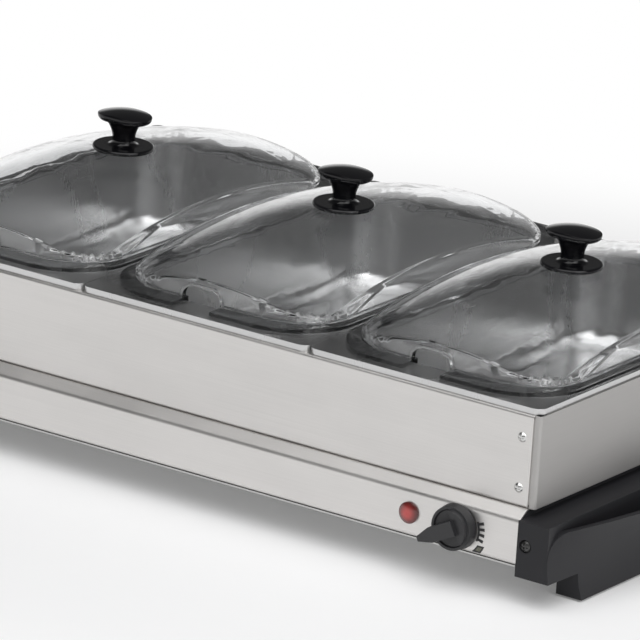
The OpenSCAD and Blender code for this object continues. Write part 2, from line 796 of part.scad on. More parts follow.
module earth_lead() color("olivedrab") lead([
    [earth_x, terminal_y, terminal_z],
    [earth_x + 2 * lead_d, terminal_y, terminal_z],
    [earth_x + 3.5 * lead_d, terminal_y - lead_d, terminal_z - lead_d / 2],
    [earth_x + 4 * lead_d, terminal_y - 2.5 * lead_d, base_lift + 1.5 * lead_d],
    [earth_x + 4 * lead_d, terminal_y - 2.5 * lead_d, base_lift]]);

// Cord gland in the back wall, with its locknut inside

gland_collar_d = 20;
gland_collar = 4;
gland_inside = 8;
gland_nut_d = 21;
gland_nut_h = 4;
gland_shoulder = 1.5;
gland_lip = 2;

module cord_gland() color([0.1, 0.1, 0.1])
translate([gland_x, base_y, control_z]) facing_back() difference() {
    union() {
        cylinder(d = gland_collar_d, h = gland_collar);
        translate([0, 0, gland_collar])
            cylinder(d1 = gland_collar_d - 2 * gland_shoulder, d2 = gland_bore + 2 * gland_lip,
                h = gland_reach - gland_collar);
        translate([0, 0, -base_sheet - gland_inside]) cylinder(d = gland_d, h = base_sheet + gland_inside);
    }
    translate([0, 0, -base_sheet - gland_inside - over])
        cylinder(d = gland_bore, h = base_sheet + gland_inside + gland_reach + 2 * over);
}

module gland_nut() color([0.1, 0.1, 0.1])
translate([gland_x, base_y - base_sheet, control_z]) facing_front() difference() {
    cylinder(d = gland_nut_d, h = gland_nut_h, $fn = 6);
    translate([0, 0, -over]) cylinder(d = gland_d + gap, h = gland_nut_h + 2 * over);
}

// Frame

frame_screw_d = 3.5;
frame_screw_head_d = 6.5;
frame_screw_head = 1.8;
frame_screw_length = 8;
frame_screw_x = frame_x - frame_screw_inset;
frame_screw_z = [frame_top - frame_screw_drop, frame_top - frame_screw_drop - frame_screw_pitch];

module frame_screw_holes() {
    for (sx = [-1, 1], z = frame_screw_z) translate([sx * frame_screw_x, 0, z]) facing_front()
        cylinder(d = frame_screw_d + gap, h = frame_depth + 2 * over, center = true);
}

module frame_front_body() difference() {
    along_x(-sheet_x, sheet_x) sheet([
        [-frame_y + frame_flange, frame_top], [-frame_y, frame_top],
        [-frame_y, deck_z], [-frame_y + frame_flange, deck_z]], frame_sheet, frame_bend);
    frame_screw_holes();
}

module frame_front() color("gainsboro") frame_front_body();
module frame_back() color("gainsboro") mirror([0, 1, 0]) frame_front_body();

// End panel, with flanges that turn in behind the front and back sheets
module frame_end_body() difference() {
    side_y = frame_y - frame_sheet;
    flange_y = frame_y - frame_flange - gap;
    trim = frame_sheet + frame_bend + gap;
    union() {
        along_z(deck_z, frame_top) sheet([
            [frame_x - corner_flange, -side_y], [frame_x, -side_y],
            [frame_x, side_y], [frame_x - corner_flange, side_y]], frame_sheet, frame_bend);
        for (z = [deck_z, frame_top - frame_sheet]) translate([0, 0, z])
            block([frame_x - frame_flange, -flange_y, 0],
                [frame_x - frame_sheet / 2, flange_y, frame_sheet]);
    }
    for (sy = [0, 1], z = [deck_z - over, frame_top - trim]) mirror([0, sy, 0])
        block([0, flange_y, z], [sheet_x + gap, frame_y, z + trim + over]);
    frame_screw_holes();
}

module frame_right() color("darkgray") frame_end_body();
module frame_left() color("darkgray") mirror([1, 0, 0]) frame_end_body();

// Channel under two rims, hooked below the front and back flanges
module divider_body() {
    half = divider_width / 2;
    reach = frame_y - frame_flange - gap;
    tab = half - frame_sheet - frame_bend;
    along_y(-reach, reach) sheet([
        [half, frame_top - divider_height], [half, frame_top],
        [-half, frame_top], [-half, frame_top - divider_height]], frame_sheet, frame_bend);
    for (sy = [0, 1]) mirror([0, sy, 0])
        block([-tab, reach - 2 * frame_flange, frame_top - 2 * frame_sheet],
            [tab, frame_y - frame_sheet - frame_bend - gap, frame_top - frame_sheet]);
}

module divider_left() color("lightgray") translate([-pan_pitch / 2, 0, 0]) divider_body();
module divider_right() color("lightgray") translate([pan_pitch / 2, 0, 0]) divider_body();

module frame_screws() color("lightgray") for (sx = [-1, 1], z = frame_screw_z) {
    translate([sx * frame_screw_x, -frame_y, z]) facing_front()
        screw(frame_screw_head_d, frame_screw_head, frame_screw_d, frame_screw_length);
    translate([sx * frame_screw_x, frame_y, z]) facing_back()
        screw(frame_screw_head_d, frame_screw_head, frame_screw_d, frame_screw_length);
}

// Pans

bowl_z = deck_z + bowl_gap;
bowl_run = tan(bowl_draft);

// Section of the bowl from its corner centre outward, moved in by t and cut off at the height top
module bowl_section(t, top) {
    wall_r = bowl_corner + pan_sheet - t;
    fillet = bowl_fillet - t;
    floor_z = bowl_z + t;
    centre = [wall_r - bowl_run * (rim_top - floor_z - fillet) - fillet / cos(bowl_draft), floor_z + fillet];
    polygon([
        [0, floor_z], [centre[0], floor_z], centre, centre + fillet * [cos(bowl_draft), -sin(bowl_draft)],
        [wall_r - bowl_run * (rim_top - top), top], [0, top]]);
    translate(centre) circle(fillet);
}

module bowl_form(t, top) {
    x = mouth_x - bowl_corner;
    y = mouth_y - bowl_corner;
    sweep_plan(x, y) bowl_section(t, top);
    block([-x, -y, bowl_z + t], [x, y, top]);
}

module pan_body() difference() {
    union() {
        bowl_form(0, rim_top - pan_sheet / 2);
        along_z(rim_top - pan_sheet, rim_top) rounded_plan(rim_x, rim_y, rim_corner);
        along_z(frame_top, rim_top - pan_sheet / 2) difference() {
            rounded_plan(rim_x, rim_y, rim_corner);
            rounded_plan(rim_x - pan_sheet, rim_y - pan_sheet, rim_corner - pan_sheet);
        }
    }
    bowl_form(pan_sheet, rim_top + over);
}

module pan_left() color("lightsteelblue") translate([-pan_pitch, 0, 0]) pan_body();
module pan_middle() color("lightsteelblue") pan_body();
module pan_right() color("lightsteelblue") translate([pan_pitch, 0, 0]) pan_body();

// Lids

lid_run = tan(lid_draft);
seat_d = 20;
seat_rise = 0.6;
seat_low = crown_z - lid_wall - seat_rise;

// Drafted dome block of the lid, its walls moved in by t, from the rim to above the crown
module dome_block(t) {
    r = bowl_corner + lid_cover;
    top = lid_crown + 2 * over + notch_lip_rise;
    x = dome_x - r;
    y = dome_y - r;
    sweep_plan(x, y) polygon([
        [0, rim_top], [r - t, rim_top], [r - t - lid_run * top, rim_top + top], [0, rim_top + top]]);
    block([-x, -y, rim_top], [x, y, rim_top + top]);
}

// Everything below the crown, which is rounded along X and along Y and moved in by t
module crown_cap(t) {
    depth = lid_crown + 4 * over;
    width = 2 * (dome_x + lid_flange_side);
    angle = 2 * asin((dome_y + lid_flange_end) / crown_r_end);
    translate([0, 0, crown_z - crown_r_end]) rotate([0, -90, 0]) rotate(-angle / 2)
        rotate_extrude(angle = angle) intersection() {
            translate([crown_r_end - crown_r_side, 0]) circle(crown_r_side - t);
            translate([crown_r_end - depth, -width / 2]) square([depth + over, width]);
        }
}

module dome_form(t) {
    intersection() {
        dome_block(t);
        crown_cap(t);
    }
}

// Arched outline of the spoon notch, widened by grow
module notch_outline(grow) {
    half = notch_width / 2 + grow;
    r = notch_corner + grow;
    top = rim_top + notch_height + grow;
    translate([-half, rim_top - over]) square([2 * half, top - r - rim_top + over]);
    translate([-half + r, rim_top - over]) square([2 * (half - r), top - rim_top + over]);
    for (sx = [-1, 1]) translate([sx * (half - r), top - r]) circle(r);
}

module notch_cut(grow) {
    translate([-notch_shift, 0, 0])
        along_y(-dome_y - lid_flange_end - over, -dome_y + notch_height + notch_lip) notch_outline(grow);
}

module lid_body() difference() {
    flange_r = bowl_corner + lid_cover + lid_flange_side;
    rib_x = mouth_x - lid_fit;
    rib_y = mouth_y - lid_fit;
    rib_r = bowl_corner - lid_fit;
    union() {
        difference() {
            union() {
                dome_form(0);
                along_z(rim_top, rim_top + lid_wall)
                    rounded_plan(dome_x + lid_flange_side, dome_y + lid_flange_end, flange_r);
                along_z(rim_top - lid_rib, rim_top) rounded_plan(rib_x, rib_y, rib_r);
                intersection() {
                    dome_form(-notch_lip_rise);
                    notch_cut(notch_lip);
                }
            }
            intersection() {
                dome_form(lid_wall);
                along_z(rim_top + lid_wall, crown_z) square(2 * [dome_x, dome_y], center = true);
            }
            along_z(rim_top - lid_rib - over, rim_top + lid_wall + over)
                rounded_plan(rib_x - lid_wall, rib_y - lid_wall, rib_r - lid_wall);
        }
        translate([0, 0, seat_low]) cylinder(d = seat_d, h = knob_seat - seat_low);
    }
    notch_cut(0);
    translate([0, 0, crown_z - 2 * lid_wall]) cylinder(d = knob_screw_d + gap, h = 4 * lid_wall);
}

module lid_left() color([0.85, 0.9, 0.92, 0.4]) translate([-pan_pitch, 0, 0]) lid_body();
module lid_middle() color([0.85, 0.9, 0.92, 0.4]) lid_body();
module lid_right() color([0.85, 0.9, 0.92, 0.4]) translate([pan_pitch, 0, 0]) lid_body();

// Lid knobs

knob_seat = crown_z + seat_rise;
knob_edge = 3;
knob_thread = 14;
knob_crown_r = 60;
knob_neck_inset = 1;

// Turned section of the knob's base, waist and throat
module throat_section() {
    neck_top = knob_height - knob_head / 2;
    waist_r = knob_waist_d / 2;
    fillet = knob_waist_z - knob_edge;
    rim_r = (knob_base_d - knob_edge) / 2;
    square([rim_r, knob_edge]);
    translate([rim_r, knob_edge / 2]) intersection() {
        circle(d = knob_edge);
        translate([0, -knob_edge]) square([knob_edge, 2 * knob_edge]);
    }
    difference() {
        translate([0, knob_edge / 2]) square([waist_r + fillet, knob_waist_z - knob_edge / 2]);
        translate([waist_r + fillet, knob_waist_z]) circle(fillet);
    }
    difference() {
        translate([0, knob_waist_z])
            square([knob_head_width / 2 - knob_neck_inset, neck_top - knob_waist_z]);
        translate([waist_r + knob_throat, knob_waist_z]) circle(knob_throat);
    }
}

// Section of the knob's head from its middle out to a half width w
module head_section(w) {
    round_r = knob_head / 2;
    translate([0, knob_height - knob_head]) square([w - round_r, knob_head]);
    translate([w - round_r, knob_height - round_r]) circle(round_r);
}

module lid_knob_body() translate([0, 0, knob_seat]) difference() {
    straight = (knob_head_length - knob_head_width) / 2;
    union() {
        rotate_extrude() throat_section();
        // Oval head with a crowned top
        intersection() {
            union() {
                for (sx = [-1, 1]) translate([sx * straight, 0, 0]) rotate(90 * -sx)
                    rotate_extrude(angle = 180) intersection() {
                        head_section(knob_head_width / 2);
                        square([knob_head_width, knob_height]);
                    }
                along_x(-straight, straight) for (side = [0, 1]) mirror([side, 0])
                    head_section(knob_head_width / 2);
            }
            translate([0, 0, knob_height - knob_crown_r]) sphere(knob_crown_r);
        }
    }
    translate([0, 0, -over]) cylinder(d = knob_screw_d, h = knob_thread + over);
}

module lid_knob_left() color([0.06, 0.06, 0.07]) translate([-pan_pitch, 0, 0]) lid_knob_body();
module lid_knob_middle() color([0.06, 0.06, 0.07]) lid_knob_body();
module lid_knob_right() color([0.06, 0.06, 0.07]) translate([pan_pitch, 0, 0]) lid_knob_body();

washer_d = 14;
washer_h = 1;
knob_screw_head_d = 8;
knob_screw_head = 2.4;
knob_screw_short = 2;
knob_screw_length = washer_h + knob_seat - seat_low + knob_thread - knob_screw_short;

module knob_screw_body() translate([0, 0, seat_low - washer_h]) rotate([180, 0, 0])
    screw(knob_screw_head_d, knob_screw_head, knob_screw_d, knob_screw_length);

module knob_washer_body() translate([0, 0, seat_low - washer_h]) difference() {
    cylinder(d = washer_d, h = washer_h);
    translate([0, 0, -over]) cylinder(d = knob_screw_d + gap, h = washer_h + 2 * over);
}

module knob_screw_left() color("silver") translate([-pan_pitch, 0, 0]) knob_screw_body();
module knob_screw_middle() color("silver") knob_screw_body();
module knob_screw_right() color("silver") translate([pan_pitch, 0, 0]) knob_screw_body();
module knob_washer_left() color("silver") translate([-pan_pitch, 0, 0]) knob_washer_body();
module knob_washer_middle() color("silver") knob_washer_body();
module knob_washer_right() color("silver") translate([pan_pitch, 0, 0]) knob_washer_body();

base_shell();
bottom_plate();
bottom_screws();
end_cap_left();
end_cap_right();
end_cap_screws();
foot_pads();
heating_element();
element_clips();
heat_shield();
thermostat_body();
thermostat_screws();
pilot_lens();
pilot_clip();
pilot_lamp();
thermal_fuse();
terminal_block();
live_lead();
heater_lead();
neutral_lead();
lamp_leads();
earth_lead();
cord_gland();
gland_nut();
control_knob();
thermostat_shaft();
frame_front();
frame_back();
frame_left();
frame_right();
divider_left();
divider_right();
frame_screws();
pan_left();
pan_middle();
pan_right();
lid_left();
lid_middle();
lid_right();
lid_knob_left();
lid_knob_middle();
lid_knob_right();
knob_screw_left();
knob_screw_middle();
knob_screw_right();
knob_washer_left();
knob_washer_middle();
knob_washer_right();
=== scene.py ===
"""Dresses the solids of an electric buffet warmer and sets up its studio.

Each operator finishes one piece or group of like pieces, and the panel in the sidebar lists them.
"""

import math

import bmesh
import bpy
from bpy.props import FloatProperty, FloatVectorProperty, IntProperty, PointerProperty
from mathutils import Matrix, Vector


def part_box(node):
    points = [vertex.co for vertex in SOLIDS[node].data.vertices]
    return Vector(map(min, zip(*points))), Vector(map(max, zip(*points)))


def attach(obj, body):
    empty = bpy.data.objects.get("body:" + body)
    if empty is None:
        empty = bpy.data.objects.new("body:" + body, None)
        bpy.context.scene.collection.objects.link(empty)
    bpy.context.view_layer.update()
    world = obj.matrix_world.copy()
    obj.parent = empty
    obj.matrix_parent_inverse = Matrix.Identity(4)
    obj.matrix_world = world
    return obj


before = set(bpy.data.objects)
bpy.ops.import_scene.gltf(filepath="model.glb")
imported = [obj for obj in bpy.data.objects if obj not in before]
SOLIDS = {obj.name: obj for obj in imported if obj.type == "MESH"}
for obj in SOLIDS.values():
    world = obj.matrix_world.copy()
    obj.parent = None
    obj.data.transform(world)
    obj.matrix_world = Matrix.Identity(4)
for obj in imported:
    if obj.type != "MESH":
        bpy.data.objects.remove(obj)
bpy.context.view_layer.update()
SIDES = ("left", "middle", "right")

bl_info = {
    "name": "Buffet warmer",
    "version": (1, 0, 0),
    "blender": (4, 5, 0),
    "location": "3D View > Sidebar > Warmer",
    "description": "Finishes an electric buffet warmer's solids and sets its studio stage",
    "category": "Object",
}


def solid_middle(name):
    """Middle of a solid's box at rest."""
    low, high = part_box(name)
    return (low + high) / 2


# Node trees

EDGE_RADIUS = 0.0004
EDGE_SAMPLES = 6


class Wire:
    """A value in a finish's node tree, on which operators add Math nodes."""

    def __init__(self, finish, socket):
        self.finish = finish
        self.socket = socket

    def math(self, operation, *values):
        return self.finish.node("ShaderNodeMath", {"operation": operation}, dict(enumerate(values)))

    def __add__(self, other):
        return self.math("ADD", self, other)

    def __radd__(self, other):
        return self.math("ADD", other, self)

    def __sub__(self, other):
        return self.math("SUBTRACT", self, other)

    def __rsub__(self, other):
        return self.math("SUBTRACT", other, self)

    def __mul__(self, other):
        return self.math("MULTIPLY", self, other)

    def __rmul__(self, other):
        return self.math("MULTIPLY", other, self)

    def __truediv__(self, other):
        return self.math("DIVIDE", self, other)

    def __rtruediv__(self, other):
        return self.math("DIVIDE", other, self)

    def __pow__(self, other):
        return self.math("POWER", self, other)

    def at_most(self, other):
        return self.math("MINIMUM", self, other)

    def rise(self, low, high):
        """0 below low, 1 above high, and a smooth slope between."""
        return self.finish.node("ShaderNodeMapRange", {"interpolation_type": "SMOOTHSTEP"},
                                {"Value": self, "From Min": low, "From Max": high})

    def along(self, axis):
        """One component of a vector."""
        return self.finish.node("ShaderNodeSeparateXYZ", {}, {0: self}, "XYZ".index(axis))


class Finish:
    """A procedural material, or another node tree, that is built node by node."""

    def __init__(self, owner):
        owner.use_nodes = True
        self.owner = owner
        self.tree = owner.node_tree
        self.tree.nodes.clear()

    def node(self, kind, settings, sockets, output=0):
        node = self.tree.nodes.new(kind)
        for name, value in settings.items():
            setattr(node, name, value)
        for key, value in sockets.items():
            if isinstance(value, Wire):
                self.tree.links.new(value.socket, node.inputs[key])
            else:
                node.inputs[key].default_value = value
        return Wire(self, node.outputs[output])

    def place(self):
        """Point of the surface in the part's frame, in metres."""
        return self.node("ShaderNodeTexCoord", {}, {}, 3)

    def stretched(self, place, scale):
        return self.node("ShaderNodeVectorMath", {"operation": "MULTIPLY"}, {0: place, 1: scale})

    def noise(self, place, scale, detail=2.0, roughness=0.5):
        return self.node("ShaderNodeTexNoise", {},
                         {"Vector": place, "Scale": scale, "Detail": detail, "Roughness": roughness})

    def shade(self, amount, dark, light):
        """Colour between two colours."""
        return self.node("ShaderNodeMix", {"data_type": "RGBA"}, {0: amount, 6: opaque(dark), 7: opaque(light)}, 2)

    def soft_edges(self, radius):
        """Normal that rounds the sharp edges of the solids."""
        return self.node("ShaderNodeBevel", {"samples": EDGE_SAMPLES}, {"Radius": radius})

    def bump(self, height, strength, distance):
        return self.node("ShaderNodeBump", {}, {
            "Height": height, "Strength": strength, "Distance": distance, "Normal": self.soft_edges(EDGE_RADIUS)})

    def principled(self, sockets):
        return self.node("ShaderNodeBsdfPrincipled", {}, sockets)

    def show(self, shader, kind="ShaderNodeOutputMaterial"):
        """Ends the tree with its output and gives back what it belongs to."""
        self.tree.links.new(shader.socket, self.tree.nodes.new(kind).inputs["Surface"])
        return self.owner


def opaque(color):
    return color if isinstance(color, Wire) else (*color[:3], 1.0)


def tinted(color, factor):
    return tuple(min(1.0, c * factor) for c in color[:3])


def new_finish(name):
    return Finish(bpy.data.materials.new(name))


CAP_SMOOTHING = math.radians(25.0)
LID_SMOOTHING = math.radians(78.0)


def smooth_facets(name, angle):
    """Shades a solid's facets as one round face where they meet at less than an angle."""
    mesh = SOLIDS[name].data
    limit = math.cos(angle)
    around = {}
    places = [tuple(round(c, 6) for c in vertex.co) for vertex in mesh.vertices]
    for face in mesh.polygons:
        for corner in face.vertices:
            around.setdefault(places[corner], []).append((face.normal.copy(), face.area))
    normals = []
    for face in mesh.polygons:
        for corner in face.vertices:
            near = (normal * area for normal, area in around[places[corner]] if normal.dot(face.normal) > limit)
            normals.append(sum(near, Vector()).normalized())
    mesh.normals_split_custom_set(normals)


def dress(material, *names):
    """Gives a finish to solids of the frame."""
    for name in names:
        if name not in SOLIDS:
            raise RuntimeError(f"The frame has no solid named {name}")
        mesh = SOLIDS[name].data
        mesh.materials.clear()
        mesh.materials.append(material)


# Finishes

BRUSH_LONG = 9.0
BRUSH_FINE = 1500.0
BRUSH_AXES = {"X": (BRUSH_LONG, BRUSH_FINE, BRUSH_FINE), "Y": (BRUSH_FINE, BRUSH_LONG, BRUSH_FINE)}
HANDLING_CLOUDS = (3.0, 3.0, 9.0)
DRAWING_GRAIN = (1600.0, 1600.0, 160.0)
PAN_SCUFFS = (1400.0, 24.0, 1400.0)
LID_SCRATCHES = (60.0, 1400.0, 60.0)
LID_IOR = 1.49


def brushed_steel(name, color, axis, looks, dull=0.0):
    """Sheet steel with fine brush lines along an axis, faint broad clouds of handling, and more or less dull."""
    f = new_finish(name)
    place = f.place()
    lines = f.noise(f.stretched(place, BRUSH_AXES[axis]), 1.0, 3.0, 0.65)
    broad = f.noise(f.stretched(place, HANDLING_CLOUDS), 4.0, 3.0)
    clouds = broad.rise(0.3, 0.7)
    tone = f.shade(lines * 0.7 + clouds * 0.3, tinted(color, 0.90), tinted(color, 1.08))
    rough = looks.brush_roughness + dull - 0.06 + lines * 0.12 + clouds * 0.05
    normal = f.bump(lines, 0.06, 0.0002)
    return f.show(f.principled({"Base Color": tone, "Metallic": 1.0, "Roughness": rough, "Normal": normal}))


def polished_steel(name, color, looks):
    """Drawn and polished steel with a faint drawing grain, light scuffs and water clouds."""
    f = new_finish(name)
    place = f.place()
    grain = f.noise(f.stretched(place, DRAWING_GRAIN), 1.0, 2.0)
    clouds = f.noise(place, 11.0, 1.0).rise(0.3, 0.7)
    scuffs = f.noise(f.stretched(place, PAN_SCUFFS), 1.0, 2.0).rise(0.6, 0.8)
    tone = f.shade(clouds, tinted(color, 0.96), color)
    rough = looks.polish_roughness + clouds * 0.04 + scuffs * 0.01 + grain * 0.02
    normal = f.bump(grain, 0.01, 0.0001)
    return f.show(f.principled({"Base Color": tone, "Metallic": 1.0, "Roughness": rough, "Normal": normal}))


def plated_steel(name, color, rough):
    """Bright plating with cloudy passivation and fine pits."""
    f = new_finish(name)
    place = f.place()
    clouds = f.noise(place, 120.0, 3.0)
    pits = f.noise(place, 1800.0, 2.0).rise(0.6, 0.75)
    tone = f.shade(clouds, tinted(color, 0.85), tinted(color, 1.08))
    return f.show(f.principled({"Base Color": tone, "Metallic": 1.0, "Roughness": rough + clouds * 0.1 + pits * 0.1}))


def moulded_plastic(name, color, rough, grain_size, grain_depth, gloss=0.5):
    """Moulded plastic with its tool's fine grain, uneven sheen and a little dust."""
    f = new_finish(name)
    place = f.place()
    grain = f.noise(place, 1.0 / grain_size, 2.0)
    sheen = f.noise(place, 22.0, 3.0)
    dust = f.noise(place, 260.0, 4.0, 0.7).rise(0.62, 0.8)
    tone = f.shade(sheen * 0.6 + dust * 0.4, tinted(color, 0.85), tinted(color, 1.25))
    normal = f.bump(grain, 0.25, grain_depth)
    return f.show(f.principled({
        "Base Color": tone, "Roughness": rough + sheen * 0.1 + dust * 0.08, "Specular IOR Level": gloss,
        "Normal": normal}))


def clear_plastic(name, looks):
    """Clear moulded lid that lets lamps through, with a faint haze and fine scratches."""
    f = new_finish(name)
    place = f.place()
    haze = f.noise(place, 14.0, 1.0).rise(0.3, 0.8)
    scratches = f.noise(f.stretched(place, LID_SCRATCHES), 1.0, 2.0).rise(0.7, 0.78)
    tone = f.shade(haze, looks.lid_tint, tinted(looks.lid_tint, 0.98))
    clear = f.principled({
        "Base Color": tone, "Roughness": 0.012 + haze * 0.012 + scratches * 0.006, "IOR": LID_IOR,
        "Transmission Weight": 1.0})
    open_way = f.node("ShaderNodeBsdfTransparent", {}, {"Color": opaque(looks.lid_tint)})
    lamp_ray = f.node("ShaderNodeLightPath", {}, {}, "Is Shadow Ray")
    return f.show(f.node("ShaderNodeMixShader", {}, {0: lamp_ray, 1: clear, 2: open_way}))


def painted_glow_lens(name, color, centre, radius):
    """Translucent red lens with a painted glow, brighter in the middle, that fades to painted shade at the rim, and a
    faint painted emission, though no lamp is lit inside.
    """
    f = new_finish(name)
    offset = f.node("ShaderNodeVectorMath", {"operation": "SUBTRACT"}, {0: f.place(), 1: centre})
    across = (offset.along("X") ** 2.0 + offset.along("Z") ** 2.0) ** 0.5 / radius
    facets = f.noise(f.place(), 700.0, 2.0)
    # Painted glow brighter in the middle and painted shade towards the rim; the same tone is also emitted as a faint
    # painted glow.
    painted_glow = (1.0 - across.rise(0.15, 1.0)) * (0.85 + facets * 0.3)
    tone = f.shade(painted_glow.at_most(1.0), tinted(color, 0.35), tinted(color, 1.9))
    return f.show(f.principled({
        "Base Color": tone, "Roughness": 0.15 + facets * 0.1, "Coat Weight": 0.6, "Coat Roughness": 0.05,
        "Emission Color": tone, "Emission Strength": 0.25}))


# Settings


class SteelLooks(bpy.types.PropertyGroup):
    base_color: FloatVectorProperty(name="Base", description="Colour of the base sheet", subtype="COLOR",
                                    default=(0.70, 0.685, 0.67), min=0.0, max=1.0)
    frame_color: FloatVectorProperty(name="Frame", description="Colour of the frame's front and back", subtype="COLOR",
                                     default=(0.68, 0.665, 0.65), min=0.0, max=1.0)
    # The end panels' colour is the frame steel darkened as painted shade, for the sides that face away from the light.
    end_shaded_color: FloatVectorProperty(name="Frame ends", description="Colour of the frame's end panels", subtype="COLOR",
                                   default=(0.48, 0.47, 0.46), min=0.0, max=1.0)
    pan_color: FloatVectorProperty(name="Pans", description="Colour of the polished pans", subtype="COLOR",
                                   default=(0.62, 0.62, 0.62), min=0.0, max=1.0)
    screw_color: FloatVectorProperty(name="Screws", description="Colour of the plated screws", subtype="COLOR",
                                     default=(0.70, 0.70, 0.69), min=0.0, max=1.0)
    plate_color: FloatVectorProperty(name="Plating", description="Colour of the zinc-plated inner pieces",
                                     subtype="COLOR", default=(0.55, 0.55, 0.54), min=0.0, max=1.0)
    brush_roughness: FloatProperty(name="Brush roughness", description="Roughness of the brushed sheet",
                                   subtype="FACTOR", default=0.34, min=0.0, max=1.0)
    polish_roughness: FloatProperty(name="Polish roughness", description="Roughness of the polished pans",
                                    subtype="FACTOR", default=0.24, min=0.0, max=1.0)


class PlasticLooks(bpy.types.PropertyGroup):
    handle_color: FloatVectorProperty(name="Handles", description="Colour of the end caps and handles",
                                      subtype="COLOR", default=(0.020, 0.020, 0.0225), min=0.0, max=1.0)
    dial_color: FloatVectorProperty(name="Dial", description="Colour of the thermostat knob", subtype="COLOR",
                                    default=(0.020, 0.020, 0.022), min=0.0, max=1.0)
    knob_color: FloatVectorProperty(name="Lid knobs", description="Colour of the lid knobs", subtype="COLOR",
                                    default=(0.004, 0.004, 0.005), min=0.0, max=1.0)
    lens_color: FloatVectorProperty(name="Pilot lens", description="Colour of the pilot lens", subtype="COLOR",
                                    default=(0.20, 0.022, 0.02), min=0.0, max=1.0)
    rubber_color: FloatVectorProperty(name="Feet", description="Colour of the rubber pads", subtype="COLOR",
                                      default=(0.02, 0.02, 0.02), min=0.0, max=1.0)
    insulator_color: FloatVectorProperty(name="Insulators", description="Colour of the moulded insulators",
                                         subtype="COLOR", default=(0.66, 0.62, 0.52), min=0.0, max=1.0)
    lamp_color: FloatVectorProperty(name="Pilot lamp", description="Colour of the pilot lamp's body", subtype="COLOR",
                                    default=(0.75, 0.25, 0.08), min=0.0, max=1.0)
    print_color: FloatVectorProperty(name="Print", description="Colour of the marks printed beside the dial",
                                     subtype="COLOR", default=(0.012, 0.012, 0.013), min=0.0, max=1.0)
    wedge_color: FloatVectorProperty(name="Wedge", description="Colour inside the end wedge's border",
                                     subtype="COLOR", default=(0.10, 0.10, 0.075), min=0.0, max=1.0)
    lid_tint: FloatVectorProperty(name="Lid tint", description="Colour of light that passes a lid's face",
                                  subtype="COLOR", default=(0.945, 0.95, 0.955), min=0.0, max=1.0)


class DialSizes(bpy.types.PropertyGroup):
    ring_radius: FloatProperty(name="Ring radius", description="Inner radius of the printed ring", unit="LENGTH",
                               default=0.0157, min=0.012, max=0.03)
    ring_width: FloatProperty(name="Ring width", description="Width of the printed ring", unit="LENGTH",
                              default=0.0014, min=0.0004, max=0.004)
    mark_length: FloatProperty(name="Mark length", description="Length of a tick outside the ring", unit="LENGTH",
                               default=0.0036, min=0.001, max=0.01)
    mark_width: FloatProperty(name="Mark width", description="Width of a tick", unit="LENGTH",
                              default=0.0021, min=0.0004, max=0.004)
    mark_count: IntProperty(name="Marks", description="Number of ticks", default=4, min=2, max=20)
    mark_first: FloatProperty(name="First mark", description="Angle of the first tick, counted from +X towards +Z",
                              subtype="ANGLE", default=math.radians(17.5))
    mark_last: FloatProperty(name="Last mark", description="Angle of the last tick, counted from +X towards +Z",
                             subtype="ANGLE", default=math.radians(-16.5))
    wedge_top: FloatProperty(name="Wedge top", description="Height of the end wedge's upper edge over the axis",
                             unit="LENGTH", default=-0.0087, min=-0.014, max=0.0)
    wedge_base: FloatProperty(name="Wedge base", description="Height of the end wedge's lower edge over the axis",
                              unit="LENGTH", default=-0.0135, min=-0.014, max=0.0)
    wedge_border: FloatProperty(name="Wedge border", description="Width of the end wedge's dark border", unit="LENGTH",
                                default=0.0011, min=0.0002, max=0.003)
    print_height: FloatProperty(name="Print height", description="Thickness of the printed marks", unit="LENGTH",
                                default=0.00012, min=0.00002, max=0.001)


class StageLooks(bpy.types.PropertyGroup):
    azimuth: FloatProperty(name="Azimuth", description="Camera's turn to the right of the front", subtype="ANGLE",
                           default=math.radians(33.147))
    elevation: FloatProperty(name="Elevation", description="Camera's height above the horizon", subtype="ANGLE",
                             default=math.radians(17.357))
    roll: FloatProperty(name="Roll", description="Camera's roll", subtype="ANGLE", default=math.radians(-3.878))
    distance: FloatProperty(name="Distance", description="Camera's distance from the part", unit="LENGTH",
                            default=5.490, min=0.5)
    focal: FloatProperty(name="Focal length", description="Focal length in picture widths", default=8461.0 / 640.0)
    centre: FloatVectorProperty(name="Centre", description="Where the part's middle lies, in picture widths",
                                size=2, default=(339.48 / 640.0, 266.20 / 640.0))
    floor_color: FloatVectorProperty(name="Floor", description="Colour of the floor", subtype="COLOR",
                                     default=(0.97, 0.97, 0.975), min=0.0, max=1.0)
    key_power: FloatProperty(name="Key light", description="Power of the large light above",
                             unit="POWER", default=55.0, min=0.0)
    key_size: FloatProperty(name="Key size", description="Side of the large light above", unit="LENGTH",
                            default=3.0, min=0.1)
    key_place: FloatVectorProperty(name="Key place", description="Middle of the large light above",
                                   subtype="TRANSLATION", unit="LENGTH", default=(0.5, -0.74, 2.16))
    fill_power: FloatProperty(name="Fill light", description="Power of the weak light from the right",
                              unit="POWER", default=16.0, min=0.0)
    fill_size: FloatProperty(name="Fill size", description="Side of the weak light from the right", unit="LENGTH",
                             default=1.8, min=0.1)
    fill_place: FloatVectorProperty(name="Fill place", description="Middle of the weak light from the right",
                                    subtype="TRANSLATION", unit="LENGTH", default=(2.3, -0.7, 1.5))
    horizon: FloatProperty(name="Horizon", description="Strength of the light from low all round", default=1.0, min=0.0)
    ceiling: FloatProperty(name="Ceiling", description="Strength of the light from overhead", default=0.10, min=0.0)


GROUPS = {"steel": SteelLooks, "plastic": PlasticLooks, "dial": DialSizes, "stage": StageLooks}


def looks(context, group):
    return getattr(context.scene, f"warmer_{group}")


# Pieces


